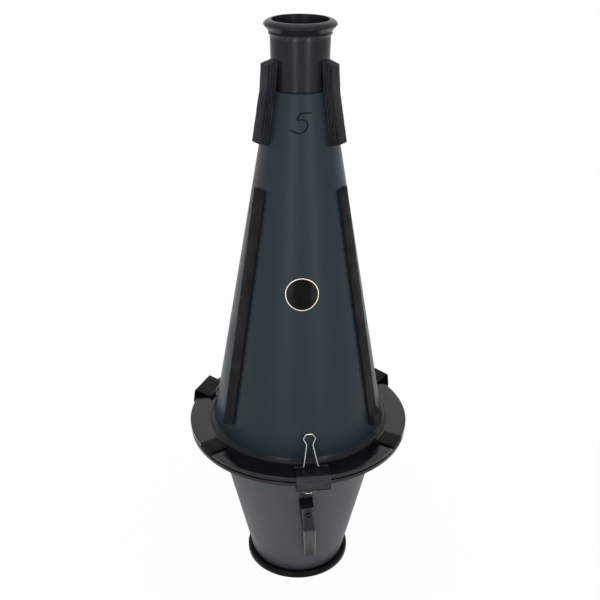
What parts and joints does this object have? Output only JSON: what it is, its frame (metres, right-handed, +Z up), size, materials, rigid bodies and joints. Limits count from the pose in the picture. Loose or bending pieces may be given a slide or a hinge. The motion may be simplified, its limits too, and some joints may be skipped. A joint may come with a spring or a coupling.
{
  "type": "practice mute",
  "caption": "Tall practice mute for a large brass instrument: rimmed neck tube on a long cone, a wide gasketed flange held by spring clips, and a closed lower cone with a front hook.",
  "frame": {"origin": "on the axis of the mute, on the floor plane under its base", "axes": "+Z up along the axis of the mute to the neck rim, -Y towards the side with the hook and the badge, +X to the right seen from that side"},
  "size_m": [0.28, 0.2917, 0.7195],
  "materials": {
    "cone_board": "smooth with a faint sheen",
    "neck_plastic": "satin",
    "foam_rubber": "dull closed-cell foam",
    "flange_plastic": "satin",
    "gasket_foam": "dull foam",
    "absorber_foam": "open-cell sound absorbing foam",
    "clip_steel": "black enamel on spring steel",
    "handle_wire": "bright nickel plate",
    "hook_steel": "dark grey coat",
    "screw_steel": "black oxide",
    "badge_ring": "satin cream",
    "badge_face": "glossy black"
  },
  "bodies": {
    "mute": {"neck_tube": "neck_plastic", "upper_cone_shell": "cone_board", "cone_base_bead": "neck_plastic", "neck_pad_left": "foam_rubber", "neck_pad_right": "foam_rubber", "neck_pad_rear": "foam_rubber", "cone_strip_left": "foam_rubber", "cone_strip_right": "foam_rubber", "cone_strip_rear": "foam_rubber", "upper_flange_plate": "flange_plastic", "flange_gasket": "gasket_foam", "lower_flange_plate": "flange_plastic", "flange_pad_left": "foam_rubber", "flange_pad_right": "foam_rubber", "flange_pad_rear": "foam_rubber", "bucket_shell": "cone_board", "bucket_base_plate": "cone_board", "base_edge_trim": "neck_plastic", "bucket_absorber": "absorber_foam", "hook_block": "foam_rubber", "hook_strip": "hook_steel", "hook_screw": "screw_steel", "hook_washer": "screw_steel", "hook_nut": "screw_steel", "badge_ring": "badge_ring", "badge_disc": "badge_face"},
    "clip_front": {"clip_body_front": "clip_steel"},
    "clip_front_upper_handle": {"clip_upper_handle_front": "handle_wire"},
    "clip_front_lower_handle": {"clip_lower_handle_front": "handle_wire"},
    "clip_left": {"clip_body_left": "clip_steel"},
    "clip_left_upper_handle": {"clip_upper_handle_left": "handle_wire"},
    "clip_left_lower_handle": {"clip_lower_handle_left": "handle_wire"},
    "clip_right": {"clip_body_right": "clip_steel"},
    "clip_right_upper_handle": {"clip_upper_handle_right": "handle_wire"},
    "clip_right_lower_handle": {"clip_lower_handle_right": "handle_wire"}
  },
  "joints": [
    {"name": "clip_front_pull", "type": "slide", "parent": "mute", "child": "clip_front", "axis": [0.0715, -0.9974, 0], "range_m": [0, 0.03]},
    {"name": "clip_front_upper_handle_fold", "type": "hinge", "parent": "clip_front", "child": "clip_front_upper_handle", "pos_m": [0.00871, -0.12148, 0.22232], "axis": [0.9974, 0.0715, 0], "range_deg": [0, 98]},
    {"name": "clip_front_lower_handle_fold", "type": "hinge", "parent": "clip_front", "child": "clip_front_lower_handle", "pos_m": [0.00888, -0.12389, 0.20468], "axis": [-0.9974, -0.0715, 0], "range_deg": [-6, 113]},
    {"name": "clip_left_pull", "type": "slide", "parent": "mute", "child": "clip_left", "axis": [-0.9041, 0.4274, 0], "range_m": [0, 0.03]},
    {"name": "clip_left_upper_handle_fold", "type": "hinge", "parent": "clip_left", "child": "clip_left_upper_handle", "pos_m": [-0.10574, 0.05943, 0.22232], "axis": [-0.4274, -0.9041, 0], "range_deg": [0, 96]},
    {"name": "clip_left_lower_handle_fold", "type": "hinge", "parent": "clip_left", "child": "clip_left_lower_handle", "pos_m": [-0.10792, 0.06047, 0.20468], "axis": [0.4274, 0.9041, 0], "range_deg": [-5, 113]},
    {"name": "clip_right_pull", "type": "slide", "parent": "mute", "child": "clip_right", "axis": [0.7705, 0.6374, 0], "range_m": [0, 0.03]},
    {"name": "clip_right_upper_handle_fold", "type": "hinge", "parent": "clip_right", "child": "clip_right_upper_handle", "pos_m": [0.09731, 0.0805, 0.22232], "axis": [-0.6374, 0.7705, 0], "range_deg": [0, 105]},
    {"name": "clip_right_lower_handle_fold", "type": "hinge", "parent": "clip_right", "child": "clip_right_lower_handle", "pos_m": [0.09917, 0.08204, 0.20468], "axis": [0.6374, -0.7705, 0], "range_deg": [-13, 113]}
  ]
}
